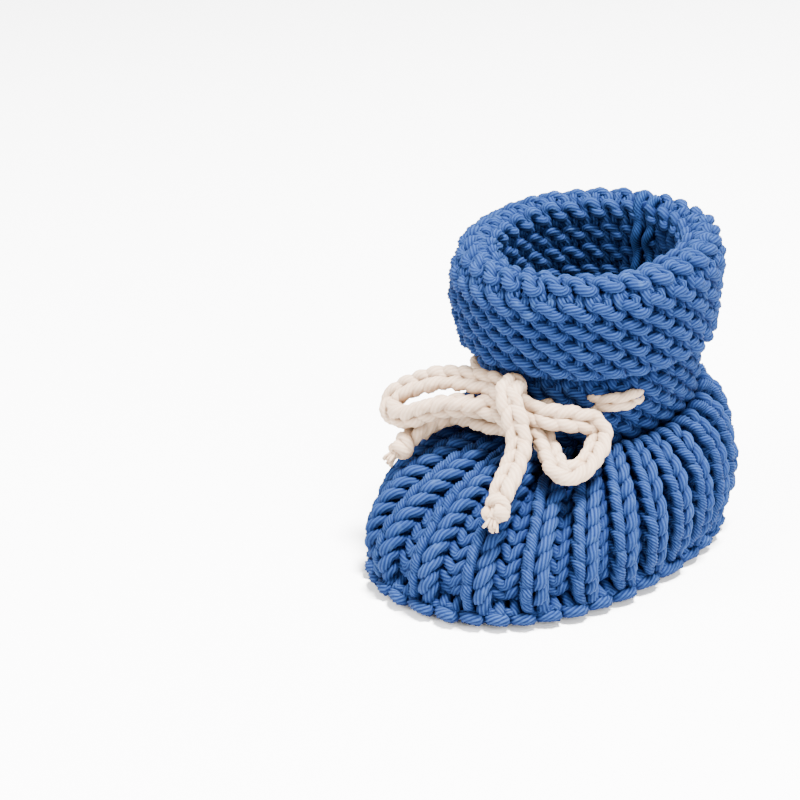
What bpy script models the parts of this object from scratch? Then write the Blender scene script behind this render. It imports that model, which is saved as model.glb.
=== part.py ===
"""Knitted baby bootie with a turned-down cuff and a crocheted tie at the ankle.

Lengths are in millimetres and are turned into metres where a mesh is made. The toe points to -Y,
+Z is up, and the origin is on the ground below the middle of the foot. Angles go round from the
toe (0) over +X (90 degrees) to the heel (180 degrees).
"""

import math

import bmesh
import bpy
import numpy as np
from mathutils import Vector

MM = 0.001
GAP = 0.3  # clearance between pieces that touch

# Foot: a plump superellipse on the ground that rises to a tilted ring at the ankle.
FOOT_TOE, FOOT_HEEL, FOOT_HALF_WIDTH = 47.8, 44.2, 33.5
FOOT_POWER = 2.3
SOLE_THICKNESS = 3.0
SOLE_EDGE_INSET = 4.0
SOLE_PROFILE = [(6.0, 0.0), (4.2, 0.4), (3.0, 1.5), (3.4, 2.5), (4.6, SOLE_THICKNESS)]  # inset, height
SOLE_STEPS = 72
FOOT_WALL = 3.4
SIDE_BULGE, TOE_BULGE = 4.5, 3.0  # how far the foot's side stands out past its outline
BULGE_HEIGHT = 11.0  # above the sole
SHOULDER, SHOULDER_SHARE, SHOULDER_FROM = 9.0, 0.42, 12.0  # the instep's near-level stretch
SIDE_SHOULDER_DROP, TOE_SHOULDER_RISE = 1.0, 0.5
RIB_COUNT = 24
RIB_SPREAD = 0.0138  # share of the outline by which the ribs are spread apart at the toe
RIB_DEPTH = 1.3
RIB_STEPS = 4  # points round each rib
FOOT_ROWS = 10
RIB_FADE = 0.3  # share of the rib depth that is left at the ankle
ANKLE_Y = 14.2
ANKLE_HEIGHT = 31.0
ANKLE_SLOPE = 0.16  # the heel side stands higher
ANKLE_TOE, ANKLE_HEEL, ANKLE_HALF_WIDTH = 23.0, 22.0, 22.0
INSTEP_GATHER = 0.5  # how strongly the toe's ribs run together below the bow

# Ankle band with the tunnel of the tie.
BAND_OUTER, BAND_INNER = 24.2, 19.6
BAND_TOP = 42.9
BAND_LIFT = 3 * GAP  # clear of the foot's top ring
BAND_ROUND = 3.0  # height of the band's rounded upper edge
BAND_EDGE_OUTER, BAND_EDGE_INNER = 1.0, 0.6  # and how far it comes in on each side
BAND_STEPS = 72
TIE_HEIGHT = 37.6
TIE_SLOPE = 0.10
TIE_RADIUS = 1.7
TIE_SIDES = 8
TIE_WAVES = 7  # times that the tie comes out of the band
TIE_BOW_ANGLE = math.radians(8)
TIE_START, TIE_END = math.radians(12.5), math.radians(9)
TIE_MIDDLE, TIE_SWING = 22.4, 2.4
TIE_STEPS, TUNNEL_STEPS = 84, 126

# Leg: inner tube, outer cuff turned down over it, and the rolled rim that joins them.
LEG_Y = 12.2
LEG_INNER, LEG_OUTER = 19.9, 22.3
LEG_BOTTOM, LEG_TOP = 43.4, 61.0
CUFF_BOTTOM, CUFF_TOP = 44.0, 61.3
CUFF_INNER_LOW, CUFF_OUTER_LOW = 22.9, 27.0
CUFF_INNER_TOP, CUFF_OUTER_TOP = 23.9, 28.6
CUFF_SLOPE_LOW, CUFF_SLOPE_TOP = 0.05, 0.09
CUFF_RIDGES = 4
RIDGE_DEPTH = 0.8
RIM_HEIGHT = 4.6
RIM_STEPS = 9

# Seams: the sewing yarn that closes the fabric under the sole, at the heel and up the leg.
SEAM_HALF_WIDTH, SEAM_HEIGHT = 1.2, 1.3
SEAM_STEPS = 7
SOLE_SEAM_ENDS = (-36.0, 34.0)
HEEL_SEAM_ENDS = (0.14, 0.84)  # shares of the way from the sole to the ankle
LEG_SEAM_MARGIN = 0.8

# The tie's free stretches, from the bow's knot outwards. Every point is chosen by hand.
CORD_RADIUS = 2.2
KNOT_CENTRE = (1.3, -14.7, 37.2)
KNOT_RADII = (4.0, 2.1, 4.3)
LOOP_RIGHT = [
    (5.9, -15.4, 38.2), (9.0, -14.8, 37.8), (12.1, -12.9, 37.3), (15.0, -10.3, 36.4),
    (17.0, -8.1, 34.8), (18.2, -8.0, 32.4), (19.3, -10.4, 30.7), (20.5, -14.0, 29.6),
    (20.9, -17.7, 28.5), (19.8, -20.7, 27.9), (17.1, -21.2, 28.2), (14.1, -19.2, 28.9),
    (11.2, -17.0, 30.0), (8.9, -15.7, 31.4), (6.9, -15.2, 33.0),
]
LOOP_LEFT = [
    (-3.2, -13.9, 39.0), (-6.2, -14.2, 39.2), (-9.8, -14.7, 39.1), (-14.2, -15.4, 38.7),
    (-19.0, -16.5, 37.4), (-23.4, -17.9, 35.4), (-26.3, -19.5, 33.2), (-26.4, -21.0, 31.1),
    (-23.6, -22.2, 30.6), (-20.0, -22.6, 31.7), (-16.6, -21.9, 33.5), (-12.8, -20.2, 34.8),
    (-8.4, -18.4, 35.3), (-4.4, -16.9, 35.4),
]
TAIL_RIGHT = [
    (2.6, -18.9, 41.4), (3.9, -19.4, 39.2), (5.3, -19.8, 36.4), (6.7, -20.3, 33.6),
    (7.9, -21.6, 31.2), (9.0, -24.0, 29.4), (10.0, -26.9, 28.0), (11.0, -30.0, 26.5),
    (11.9, -32.8, 24.9),
]
TAIL_LEFT = [
    (-2.4, -14.2, 31.2), (-5.8, -14.0, 30.6), (-9.4, -13.5, 30.4), (-13.0, -13.3, 30.1),
    (-16.3, -14.4, 29.5), (-18.5, -16.8, 28.5), (-19.4, -19.8, 27.3), (-20.0, -22.6, 26.0),
]
STOPPER_RADIUS = 3.1

BLUE = (0.055, 0.17, 0.50)
CREAM = (0.80, 0.72, 0.60)


def superellipse(angle, toe, heel, half_width, centre_y, power):
    s, c = math.sin(angle), math.cos(angle)
    x = half_width * math.copysign(abs(s) ** (2 / power), s)
    reach = toe if c > 0 else heel
    return np.array([x, centre_y - reach * math.copysign(abs(c) ** (2 / power), c)])


def foot_outline(angle):
    return superellipse(angle, FOOT_TOE, FOOT_HEEL, FOOT_HALF_WIDTH, 0.0, FOOT_POWER)


def ankle_ring(angle):
    x, y = superellipse(angle, ANKLE_TOE, ANKLE_HEEL, ANKLE_HALF_WIDTH, ANKLE_Y, 2.0)
    return np.array([x, y, ANKLE_HEIGHT + ANKLE_SLOPE * (y - ANKLE_Y)])


def foot_point(angle, t):
    """A point of the foot's outer surface, from the sole's edge (t = 0) up to the ankle (t = 1)."""
    base = foot_outline(angle)
    top = ankle_ring(angle - INSTEP_GATHER * math.sin(angle))
    reach = np.linalg.norm(base - top[:2])
    out = (base - top[:2]) / reach
    toe_share = 0.5 + 0.5 * math.cos(angle)
    bulge = SIDE_BULGE + (TOE_BULGE - SIDE_BULGE) * toe_share
    shoulder = SHOULDER + SHOULDER_SHARE * max(0.0, reach - SHOULDER_FROM)
    rise = (SIDE_SHOULDER_DROP + TOE_SHOULDER_RISE) * toe_share - SIDE_SHOULDER_DROP
    p0 = np.append(base - SOLE_EDGE_INSET * out, SOLE_THICKNESS)
    p1 = np.append(base + bulge * out, SOLE_THICKNESS + BULGE_HEIGHT)
    p2 = np.append(top[:2] + shoulder * out, top[2] + rise)
    u = 1 - t
    return u**3 * p0 + 3 * u * u * t * p1 + 3 * u * t * t * p2 + t**3 * top


def foot_normal(angle, t):
    step = 0.002
    low, high = max(0.0, t - step), min(1.0, t + step)
    along = foot_point(angle, high) - foot_point(angle, low)
    across = foot_point(angle + step, t) - foot_point(angle - step, t)
    normal = np.cross(across, along)
    return normal / np.linalg.norm(normal)


def even_angles(count, spread=0.0):
    """Angles that divide the foot's outline into equal lengths, or wider ones at the toe."""
    dense = np.linspace(0, 2 * math.pi, 1441)
    points = np.array([foot_outline(a) for a in dense])
    run = np.concatenate([[0], np.cumsum(np.linalg.norm(np.diff(points, axis=0), axis=1))])
    shares = np.arange(count) / count
    shares = shares + spread * (np.sin(2 * math.pi * shares) + np.sin(4 * math.pi * shares))
    return np.interp(shares * run[-1], run, dense)


def material(name, colour, roughness):
    made = bpy.data.materials.new(name)
    made.use_nodes = True
    shader = made.node_tree.nodes["Principled BSDF"]
    shader.inputs["Base Color"].default_value = (*colour, 1)
    shader.inputs["Roughness"].default_value = roughness
    shader.inputs["Metallic"].default_value = 0
    made.diffuse_color = (*colour, 1)
    return made


def face_outwards(mesh):
    shell = bmesh.new()
    shell.from_mesh(mesh)
    if shell.calc_volume(signed=True) < 0:
        bmesh.ops.reverse_faces(shell, faces=shell.faces)
    shell.to_mesh(mesh)
    shell.free()


def add_mesh(name, points, faces, finish):
    """A mesh object from points in millimetres."""
    mesh = bpy.data.meshes.new(name)
    mesh.from_pydata([tuple(MM * float(v) for v in p) for p in points], [], faces)
    face_outwards(mesh)
    made = bpy.data.objects.new(name, mesh)
    bpy.context.collection.objects.link(made)
    made.data.materials.append(finish)
    return made


def loft(name, rings, finish, ring_closes=True):
    """Joins rings of equal length. A closed loft ends where it begins; an open one gets end caps."""
    count = len(rings[0])
    points = [p for ring in rings for p in ring]
    faces = []
    last = len(rings) if ring_closes else len(rings) - 1
    for r in range(last):
        a, b = r * count, (r + 1) % len(rings) * count
        for i in range(count):
            j = (i + 1) % count
            faces.append((a + i, a + j, b + j, b + i))
    if not ring_closes:
        faces.append(tuple(reversed(range(count))))
        faces.append(tuple(range((len(rings) - 1) * count, len(rings) * count)))
    return add_mesh(name, points, faces, finish)


def turned(name, profile, finish, centre_y, slope, steps=56):
    """A ring about the leg's axis. The profile holds (radius, height), and slope raises the heel."""
    rings = []
    for angle in np.linspace(0, 2 * math.pi, steps, endpoint=False):
        ring = []
        for radius, height in profile:
            y = -radius * math.cos(angle)
            ring.append((radius * math.sin(angle), centre_y + y, height + slope(height) * y))
        rings.append(ring)
    return loft(name, rings, finish)


def sole(finish):
    rings = []
    for inset, height in SOLE_PROFILE:
        ring = []
        for angle in even_angles(SOLE_STEPS):
            point = foot_outline(angle)
            out = point - ankle_ring(angle - INSTEP_GATHER * math.sin(angle))[:2]
            out /= np.linalg.norm(out)
            ring.append((*(point - inset * out), height))
        rings.append(ring)
    return loft("sole", rings, finish, ring_closes=False)


def rib_depth(t):
    """The ribs are deepest halfway up, and run out towards the sole and the ankle."""
    if t >= 0.9:
        return RIB_DEPTH * RIB_FADE
    return RIB_DEPTH * math.sin(math.pi * min(1.0, 0.12 + t)) ** 0.5


def ribbed_foot(finish):
    angles = even_angles(RIB_COUNT * RIB_STEPS, RIB_SPREAD)
    lift = np.array([0, 0, GAP])
    outer, inner = [], []
    for t in np.linspace(0, 1, FOOT_ROWS):
        outside, inside = [], []
        for i, angle in enumerate(angles):
            crest = foot_point(angle, t)
            normal = foot_normal(angle, t)
            wave = 0.5 - 0.5 * math.cos(2 * math.pi * i / RIB_STEPS)
            outside.append(crest - rib_depth(t) * wave * normal + lift)
            flat = np.array([normal[0], normal[1], 0.0]) if t in (0.0, 1.0) else normal
            inside.append(crest - FOOT_WALL * flat / np.linalg.norm(flat) + lift)
        outer.append(outside)
        inner.append(inside)
    return loft("ribbed_foot", outer + inner[::-1], finish)


def seam_strip(name, line, side, proud, finish):
    """A half-round ridge of sewing yarn that follows a line and stands proud of the fabric."""
    rings = []
    for point in line:
        ring = []
        for turn in np.linspace(0, math.pi, SEAM_STEPS):
            offset = side * SEAM_HALF_WIDTH * math.cos(turn) + proud * SEAM_HEIGHT * math.sin(turn)
            ring.append(np.asarray(point) + offset)
        rings.append(ring)
    return loft(name, rings, finish, ring_closes=False)


def sole_seam(finish):
    line = [(0.0, y, SOLE_THICKNESS + GAP) for y in np.linspace(*SOLE_SEAM_ENDS, 12)]
    return seam_strip("sole_seam", line, np.array([1.0, 0, 0]), np.array([0, 0, 1.0]), finish)


def heel_seam(finish):
    line = []
    for t in np.linspace(*HEEL_SEAM_ENDS, 9):
        normal = foot_normal(math.pi, t)
        line.append(foot_point(math.pi, t) - (FOOT_WALL + 2 * GAP) * normal)
    return seam_strip("heel_seam", line, np.array([1.0, 0, 0]), np.array([0, -1.0, 0]), finish)


def leg_slope(height):
    share = (height - LEG_BOTTOM) / (CUFF_TOP - LEG_BOTTOM)
    return CUFF_SLOPE_LOW + (CUFF_SLOPE_TOP - CUFF_SLOPE_LOW) * min(1.3, max(-0.5, share))


def tie_route(angle):
    """The tie's line round the ankle. It comes out of the band at each wave, and stays out by the bow."""
    first = math.pi / TIE_WAVES
    turn = abs(angle)
    if turn < first:
        turn = max(0.0, turn - TIE_BOW_ANGLE) * first / (first - TIE_BOW_ANGLE)
    radius = TIE_MIDDLE + TIE_SWING * math.cos(TIE_WAVES * turn)
    y = -radius * math.cos(angle)
    return np.array([radius * math.sin(angle), LEG_Y + y, TIE_HEIGHT + TIE_SLOPE * y])


def tie_tube(name, radius, angles, closed, finish):
    rings = []
    for angle in angles:
        centre = tie_route(angle)
        along = tie_route(angle + 0.01) - tie_route(angle - 0.01)
        along /= np.linalg.norm(along)
        side = np.cross(along, [0, 0, 1.0])
        side /= np.linalg.norm(side)
        up = np.cross(side, along)
        turns = [2 * math.pi * (k + 0.5) / TIE_SIDES for k in range(TIE_SIDES)]
        rings.append([centre + radius * (side * math.cos(a) + up * math.sin(a)) for a in turns])
    return loft(name, rings, finish, closed)


def ankle_tie(finish):
    angles = np.linspace(TIE_START, 2 * math.pi - TIE_END, TIE_STEPS)
    angles = [a if a <= math.pi else a - 2 * math.pi for a in angles]
    return tie_tube("ankle_tie", TIE_RADIUS, angles, False, finish)


def ankle_band(finish):
    """The garter band between the foot and the leg, with the tunnel that the tie runs through."""
    profile = [(BAND_OUTER, BAND_TOP - BAND_ROUND), (BAND_OUTER - BAND_EDGE_OUTER, BAND_TOP),
               (BAND_INNER + BAND_EDGE_INNER, BAND_TOP), (BAND_INNER, BAND_TOP - BAND_ROUND)]
    rings = []
    for angle in np.linspace(0, 2 * math.pi, BAND_STEPS, endpoint=False):
        out = np.array([math.sin(angle), -math.cos(angle), 0.0])
        low = ankle_ring(angle) + np.array([0, 0, BAND_LIFT])
        ring = [low - FOOT_WALL * out, low]
        for radius, height in profile:
            y = -radius * math.cos(angle)
            ring.append((radius * math.sin(angle), LEG_Y + y, height + CUFF_SLOPE_LOW * y))
        rings.append(ring)
    band = loft("ankle_band", rings, finish)
    angles = np.linspace(-math.pi, math.pi, TUNNEL_STEPS, endpoint=False)
    tunnel = tie_tube("tunnel_cutter", TIE_RADIUS + GAP, angles, True, finish)
    tunnel.hide_render = True
    tunnel.hide_viewport = True
    cut = band.modifiers.new("tunnel", "BOOLEAN")
    cut.operation = "DIFFERENCE"
    cut.object = tunnel
    return band


def leg_tube(finish):
    profile = [(LEG_OUTER, LEG_BOTTOM), (LEG_OUTER, (LEG_BOTTOM + LEG_TOP) / 2), (LEG_OUTER, LEG_TOP),
               (LEG_INNER, LEG_TOP), (LEG_INNER, (LEG_BOTTOM + LEG_TOP) / 2), (LEG_INNER, LEG_BOTTOM)]
    return turned("leg_tube", profile, finish, LEG_Y, leg_slope)


def leg_seam(finish):
    line = []
    for height in np.linspace(LEG_BOTTOM + LEG_SEAM_MARGIN, LEG_TOP - LEG_SEAM_MARGIN, 7):
        y = LEG_INNER - GAP
        line.append((0.0, LEG_Y + y, height + leg_slope(height) * y))
    return seam_strip("leg_seam", line, np.array([1.0, 0, 0]), np.array([0, -1.0, 0]), finish)


def cuff(finish):
    profile = [(CUFF_INNER_TOP, CUFF_TOP), (CUFF_INNER_LOW, CUFF_BOTTOM)]
    steps = 4 * CUFF_RIDGES
    for i in range(steps + 1):
        share = i / steps
        dip = 0.5 - 0.5 * math.cos(2 * math.pi * i / 4 - math.pi)
        radius = CUFF_OUTER_LOW + (CUFF_OUTER_TOP - CUFF_OUTER_LOW) * share
        height = CUFF_BOTTOM + (CUFF_TOP - CUFF_BOTTOM) * share
        profile.append((radius - RIDGE_DEPTH * (1 - dip), height))
    return turned("cuff", profile[::-1], finish, LEG_Y, leg_slope)


def cuff_rim(finish):
    """The roll at the top, where the leg's fabric turns outwards into the cuff."""
    base = CUFF_TOP + GAP
    middle = (LEG_INNER + CUFF_OUTER_TOP) / 2
    half = (CUFF_OUTER_TOP - LEG_INNER) / 2
    profile = [(middle + half * math.cos(a), base + RIM_HEIGHT * math.sin(a))
               for a in np.linspace(0, math.pi, RIM_STEPS)]
    return turned("cuff_rim", profile, finish, LEG_Y, leg_slope)


def cord(name, points, finish):
    """A plain round tube with filled ends along a smooth line through the points."""
    curve = bpy.data.curves.new(name, "CURVE")
    curve.dimensions = "3D"
    curve.bevel_depth = MM * CORD_RADIUS
    curve.bevel_resolution = 2
    curve.resolution_u = 2
    curve.use_fill_caps = True
    line = curve.splines.new("NURBS")
    line.points.add(len(points) - 1)
    for slot, point in zip(line.points, points):
        slot.co = (*(MM * v for v in point), 1)
    line.order_u = 4
    line.use_endpoint_u = True
    made = bpy.data.objects.new(name, curve)
    bpy.context.collection.objects.link(made)
    made.data.materials.append(finish)
    return made


def ball(name, centre, radii, finish):
    """A round lump of cord, as at a knot."""
    bpy.ops.mesh.primitive_ico_sphere_add(subdivisions=2, radius=1)
    made = bpy.context.object
    made.name = name
    made.data.name = name
    for vertex in made.data.vertices:
        vertex.co = MM * Vector([c + r * v for c, r, v in zip(centre, radii, vertex.co)])
    made.data.materials.append(finish)
    return made


def past_end(points, distance):
    """The point this far past the last one, straight on."""
    last, before = np.array(points[-1]), np.array(points[-2])
    along = (last - before) / np.linalg.norm(last - before)
    return last + distance * along


def bow(finish):
    ball("bow_knot", KNOT_CENTRE, KNOT_RADII, finish)
    cord("bow_loop_right", LOOP_RIGHT, finish)
    cord("bow_loop_left", LOOP_LEFT, finish)
    for side, points in (("right", TAIL_RIGHT), ("left", TAIL_LEFT)):
        cord(f"bow_tail_{side}", points, finish)
        centre = past_end(points, STOPPER_RADIUS + GAP)
        ball(f"stopper_knot_{side}", centre, [STOPPER_RADIUS] * 3, finish)


def clear_scene():
    for old in list(bpy.data.objects):
        bpy.data.objects.remove(old, do_unlink=True)


def main():
    clear_scene()
    yarn = material("blue_yarn", BLUE, 0.85)
    seam_yarn = material("seam_yarn", tuple(0.8 * c for c in BLUE), 0.9)
    cream = material("cream_cord", CREAM, 0.85)
    sole(yarn)
    sole_seam(seam_yarn)
    ribbed_foot(yarn)
    heel_seam(seam_yarn)
    ankle_band(yarn)
    leg_tube(yarn)
    leg_seam(seam_yarn)
    cuff(yarn)
    cuff_rim(yarn)
    ankle_tie(cream)
    bow(cream)


main()
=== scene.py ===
"""Looks of the knitted baby bootie: every yarn is a plied strand swept along its stitches.

Lengths are in millimetres and are turned into metres where a mesh is made. The frame is the CAD's:
toe to -Y, +Z up, angles from the toe (0) over +X (90 degrees) to the heel (180 degrees).

A surface is a function of the angle, the way up the fabric (s) and the depth outside its middle.
It gives points and normals. Garter rows and ribs are laid out flat and carried onto a surface.
"""

import math

import bpy
import numpy as np
from mathutils import Matrix, Vector


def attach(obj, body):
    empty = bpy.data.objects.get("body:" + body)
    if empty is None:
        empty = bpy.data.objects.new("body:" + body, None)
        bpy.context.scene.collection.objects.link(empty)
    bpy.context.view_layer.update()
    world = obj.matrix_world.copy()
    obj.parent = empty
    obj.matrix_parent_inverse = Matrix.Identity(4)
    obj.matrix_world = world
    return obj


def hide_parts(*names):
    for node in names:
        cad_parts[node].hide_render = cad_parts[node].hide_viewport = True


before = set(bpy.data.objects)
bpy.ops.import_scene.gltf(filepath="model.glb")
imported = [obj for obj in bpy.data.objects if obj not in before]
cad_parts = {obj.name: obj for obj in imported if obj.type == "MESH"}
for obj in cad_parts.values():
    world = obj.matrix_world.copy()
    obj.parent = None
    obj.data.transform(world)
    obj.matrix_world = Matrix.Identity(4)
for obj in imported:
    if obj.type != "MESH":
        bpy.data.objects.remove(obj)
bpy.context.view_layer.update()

MM = 0.001
rng = np.random.default_rng(7)

# Camera: its place in metres, and the direction from the bootie to it, in degrees.
CAMERA_PLACE = (0.24882, -0.33099, 0.20165)
CAMERA_AZIMUTH, CAMERA_ELEVATION, CAMERA_ROLL = 41.37, 22.17, -1.64
CAMERA_LENS, CAMERA_SENSOR = 95.85, 36

# Studio, in metres and watts.
WORLD_STRENGTH = 0.95
LIGHTS = {  # place, edge of the square, power
    "key": ((0.25, 0.05, 1.15), 0.3, 150),
    "fill": ((-0.5, -0.8, 0.6), 0.6, 22),
    "side": ((0.9, -0.3, 0.5), 0.6, 18),
}
LIGHTS_AIM = (0, 0, 0.03)
FLOOR_SIZE, FLOOR_COLOUR, FLOOR_ROUGHNESS = 12, (0.97, 0.97, 0.97, 1), 0.9

# The foot's shape, as in the CAD.
FOOT_TOE, FOOT_HEEL, FOOT_HALF_WIDTH, FOOT_POWER = 47.8, 44.2, 33.5, 2.3
SOLE_THICKNESS, SOLE_EDGE_INSET = 3.0, 4.0
SIDE_BULGE, TOE_BULGE, BULGE_HEIGHT = 4.5, 3.0, 11.0
SHOULDER, SHOULDER_SHARE, SHOULDER_FROM = 9.0, 0.42, 12.0
SIDE_SHOULDER_DROP, TOE_SHOULDER_RISE = 1.0, 0.5
RIB_COUNT = 24
RIB_SPREAD = 0.0138  # share of the outline by which the ribs are spread apart at the toe
ANKLE_Y, ANKLE_HEIGHT, ANKLE_SLOPE = 14.2, 31.0, 0.16
ANKLE_TOE, ANKLE_HEEL, ANKLE_HALF_WIDTH = 23.0, 22.0, 22.0
INSTEP_GATHER = 0.5

# The leg's and the tie's shape, after the CAD. Radii go to the middle of the fabric.
LEG_Y = 12.2
LEG_BOTTOM, CUFF_BOTTOM, SLOPE_TOP, FOLD_HEIGHT = 43.4, 44.6, 61.3, 61.4
CUFF_RADIUS_LOW, CUFF_RADIUS_TOP, LEG_RADIUS = 24.9, 26.2, 20.4
RIM_RADIUS = (CUFF_RADIUS_TOP - LEG_RADIUS) / 2
CUFF_SLUMP, SLUMP_ANGLE = 1.3, math.radians(-53)  # the cuff bulges on one side
LEG_LEAN, LEAN_ANGLE = 1.3, math.radians(215)  # the opening lies towards the heel's left
CUFF_SLOPE_LOW, CUFF_SLOPE_TOP = 0.05, 0.09
BAND_LENGTH, BAND_TOP = 11.2, 42.4
BAND_RADIUS, BAND_TAPER = 24.2, 1.2  # outside radius at the foot, and how much less it is at the leg
BAND_INSET, BAND_LIFT = 1.9, 0.9  # of the fabric's middle, and of its start above the ribs
TIE_HEIGHT, TIE_SLOPE, TIE_WAVES = 37.6, 0.10, 7
TIE_BOW_ANGLE = math.radians(8)
TIE_START, TIE_END = math.radians(12.5), math.radians(9)
TIE_MIDDLE, TIE_SWING = 22.4, 2.4
TIE_SINK = 1.1  # how far the cord presses into the band
TIE_LIFT, TIE_LIFT_ANGLE = 1.5, math.radians(51)  # the stretch right of the bow rides up
TIE_HIDE, TIE_HIDE_ANGLE = 3.6, math.radians(103)  # on each side, the wave that stays in the band
TIE_CHANGE = 0.3  # angle within which the tie rides up or hides

# The bow's routes. They are the CAD's, but right of the knot they lie up to 2 mm lower, as in the
# photo, and the left tail begins inside the knot.
LOOP_RIGHT = [
    (5.9, -15.6, 36.2), (9.0, -15.2, 36.0), (12.1, -13.4, 35.8), (15.0, -10.8, 35.4),
    (17.0, -8.6, 34.2), (18.2, -8.3, 32.3), (19.3, -10.4, 30.7), (20.5, -14.0, 29.6),
    (20.9, -17.7, 28.5), (19.8, -20.7, 27.9), (17.1, -21.2, 28.2), (14.1, -19.2, 28.9),
    (11.2, -17.0, 30.0), (8.9, -15.7, 31.4), (6.9, -15.2, 33.0),
]
LOOP_LEFT = [
    (-3.2, -13.9, 39.0), (-6.2, -14.2, 39.2), (-9.8, -14.7, 39.1), (-14.2, -15.4, 38.7),
    (-19.0, -16.5, 37.4), (-23.4, -17.9, 35.4), (-26.3, -19.5, 33.2), (-26.4, -21.0, 31.1),
    (-23.6, -22.2, 30.6), (-20.0, -22.6, 31.7), (-16.6, -21.9, 33.5), (-12.8, -20.2, 34.8),
    (-8.4, -18.4, 35.3), (-4.4, -16.9, 35.4),
]
TAIL_RIGHT = [
    (2.9, -18.9, 39.9), (4.1, -19.4, 38.2), (5.4, -19.8, 36.0), (6.7, -20.3, 33.6),
    (7.9, -21.6, 31.2), (9.0, -24.0, 29.4), (10.0, -26.9, 28.0), (11.0, -30.0, 26.5),
    (11.9, -32.8, 24.9),
]
TAIL_LEFT = [
    (-0.6, -13.6, 33.2), (-2.4, -14.2, 31.2), (-5.8, -14.0, 30.6), (-9.4, -13.5, 30.4),
    (-13.0, -13.3, 30.1), (-16.3, -14.4, 29.5), (-18.5, -16.8, 28.5), (-19.4, -19.8, 27.3),
    (-20.0, -22.6, 26.0),
]
KNOT_ACROSS_TOP = [(-3.4, -14.0, 39.0), (-0.6, -15.2, 38.8), (2.6, -15.7, 37.6), (6.1, -15.6, 36.2)]
KNOT_ACROSS_LOW = [(-4.6, -16.9, 35.4), (-1.0, -16.6, 35.0), (3.0, -16.0, 34.0), (7.1, -15.2, 33.0)]
KNOT_WRAP = [
    (2.9, -18.9, 39.6), (2.3, -17.5, 40.9), (1.2, -14.8, 40.6), (0.2, -13.0, 38.6),
    (-0.8, -12.8, 35.6), (-1.8, -13.6, 32.4), (-3.2, -14.2, 31.0),
]
BOW_FACING = (0.45, -0.75, 0.5)
BOW_TWISTS = {"loop_right": 0.15, "loop_left": 0.2, "tail_right": 0.1, "tail_left": 0.15}

# Yarn: eight plies with an S twist.
PLIES = 8
TWIST_PITCH = 8.6  # length of one full turn of a ply
PLY_GROOVE = 0.77  # radius in the grooves, as a share of the yarn's radius
RING_STEP, CUFF_STEP, SOLE_STEP = 0.55, 0.62, 1.0  # between a strand's rings
UNEVEN_LENGTH, BLUE_UNEVEN, CREAM_UNEVEN = 1.8, 0.04, 0.075  # thick and thin places, as shares

# Looks of the yarns. Light, mid and fleck are colours, and the darkest colour is painted shade for the
# ply grooves and for the creases near other yarns. The grooves' painted shade and the flecks are given
# as strengths.
YARN_LOOKS = {
    "blue_yarn_look": {
        "light": (0.026, 0.060, 0.165, 1), "mid": (0.008, 0.027, 0.096, 1),
        "painted_shade": (0.0008, 0.004, 0.032, 1), "fleck": (0.06, 0.13, 0.28, 1),
        "fleck_share": 1.0, "groove_painted_shade": 1.0, "crease_shade_power": 1.5, "fluff": 0.0003,
    },
    "seam_yarn_look": {
        "light": (0.020, 0.060, 0.175, 1), "mid": (0.008, 0.030, 0.11, 1),
        "painted_shade": (0.0006, 0.003, 0.026, 1), "fleck": (0.04, 0.10, 0.24, 1),
        "fleck_share": 1.0, "groove_painted_shade": 1.0, "crease_shade_power": 1.5, "fluff": 0.0003,
    },
    "cream_cord_look": {
        "light": (0.56, 0.43, 0.33, 1), "mid": (0.43, 0.31, 0.22, 1),
        "painted_shade": (0.30, 0.19, 0.11, 1), "fleck": (0.36, 0.20, 0.09, 1),
        "fleck_share": 2.6, "groove_painted_shade": 0.55, "crease_shade_power": 1.1, "fluff": 0.0005,
    },
}
# Painted shade in the creases: ambient occlusion darkens a yarn's colour where another yarn is near.
CREASE_SHADE_DISTANCE, CREASE_SHADE_SAMPLES = 0.003, 6  # how near another yarn darkens this one, in metres
FIBRE_STRETCH = (0.5, 90.0, 1.0)  # noise is drawn out along the yarn
SHADE_SCALE, SPOT_SCALE, FUZZ_SCALE = 140.0, 420.0, 2600.0
FIBRE_FROM, FIBRE_STRENGTH, SPOT_FROM = 0.45, 1.2, 0.62
SHADE_SHARE, FUZZ_SHARE = 0.9, 0.5
YARN_ROUGHNESS, YARN_SPECULAR, SHEEN, SHEEN_ROUGHNESS, BUMP = 0.86, 0.06, 0.05, 0.45, 0.6

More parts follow.
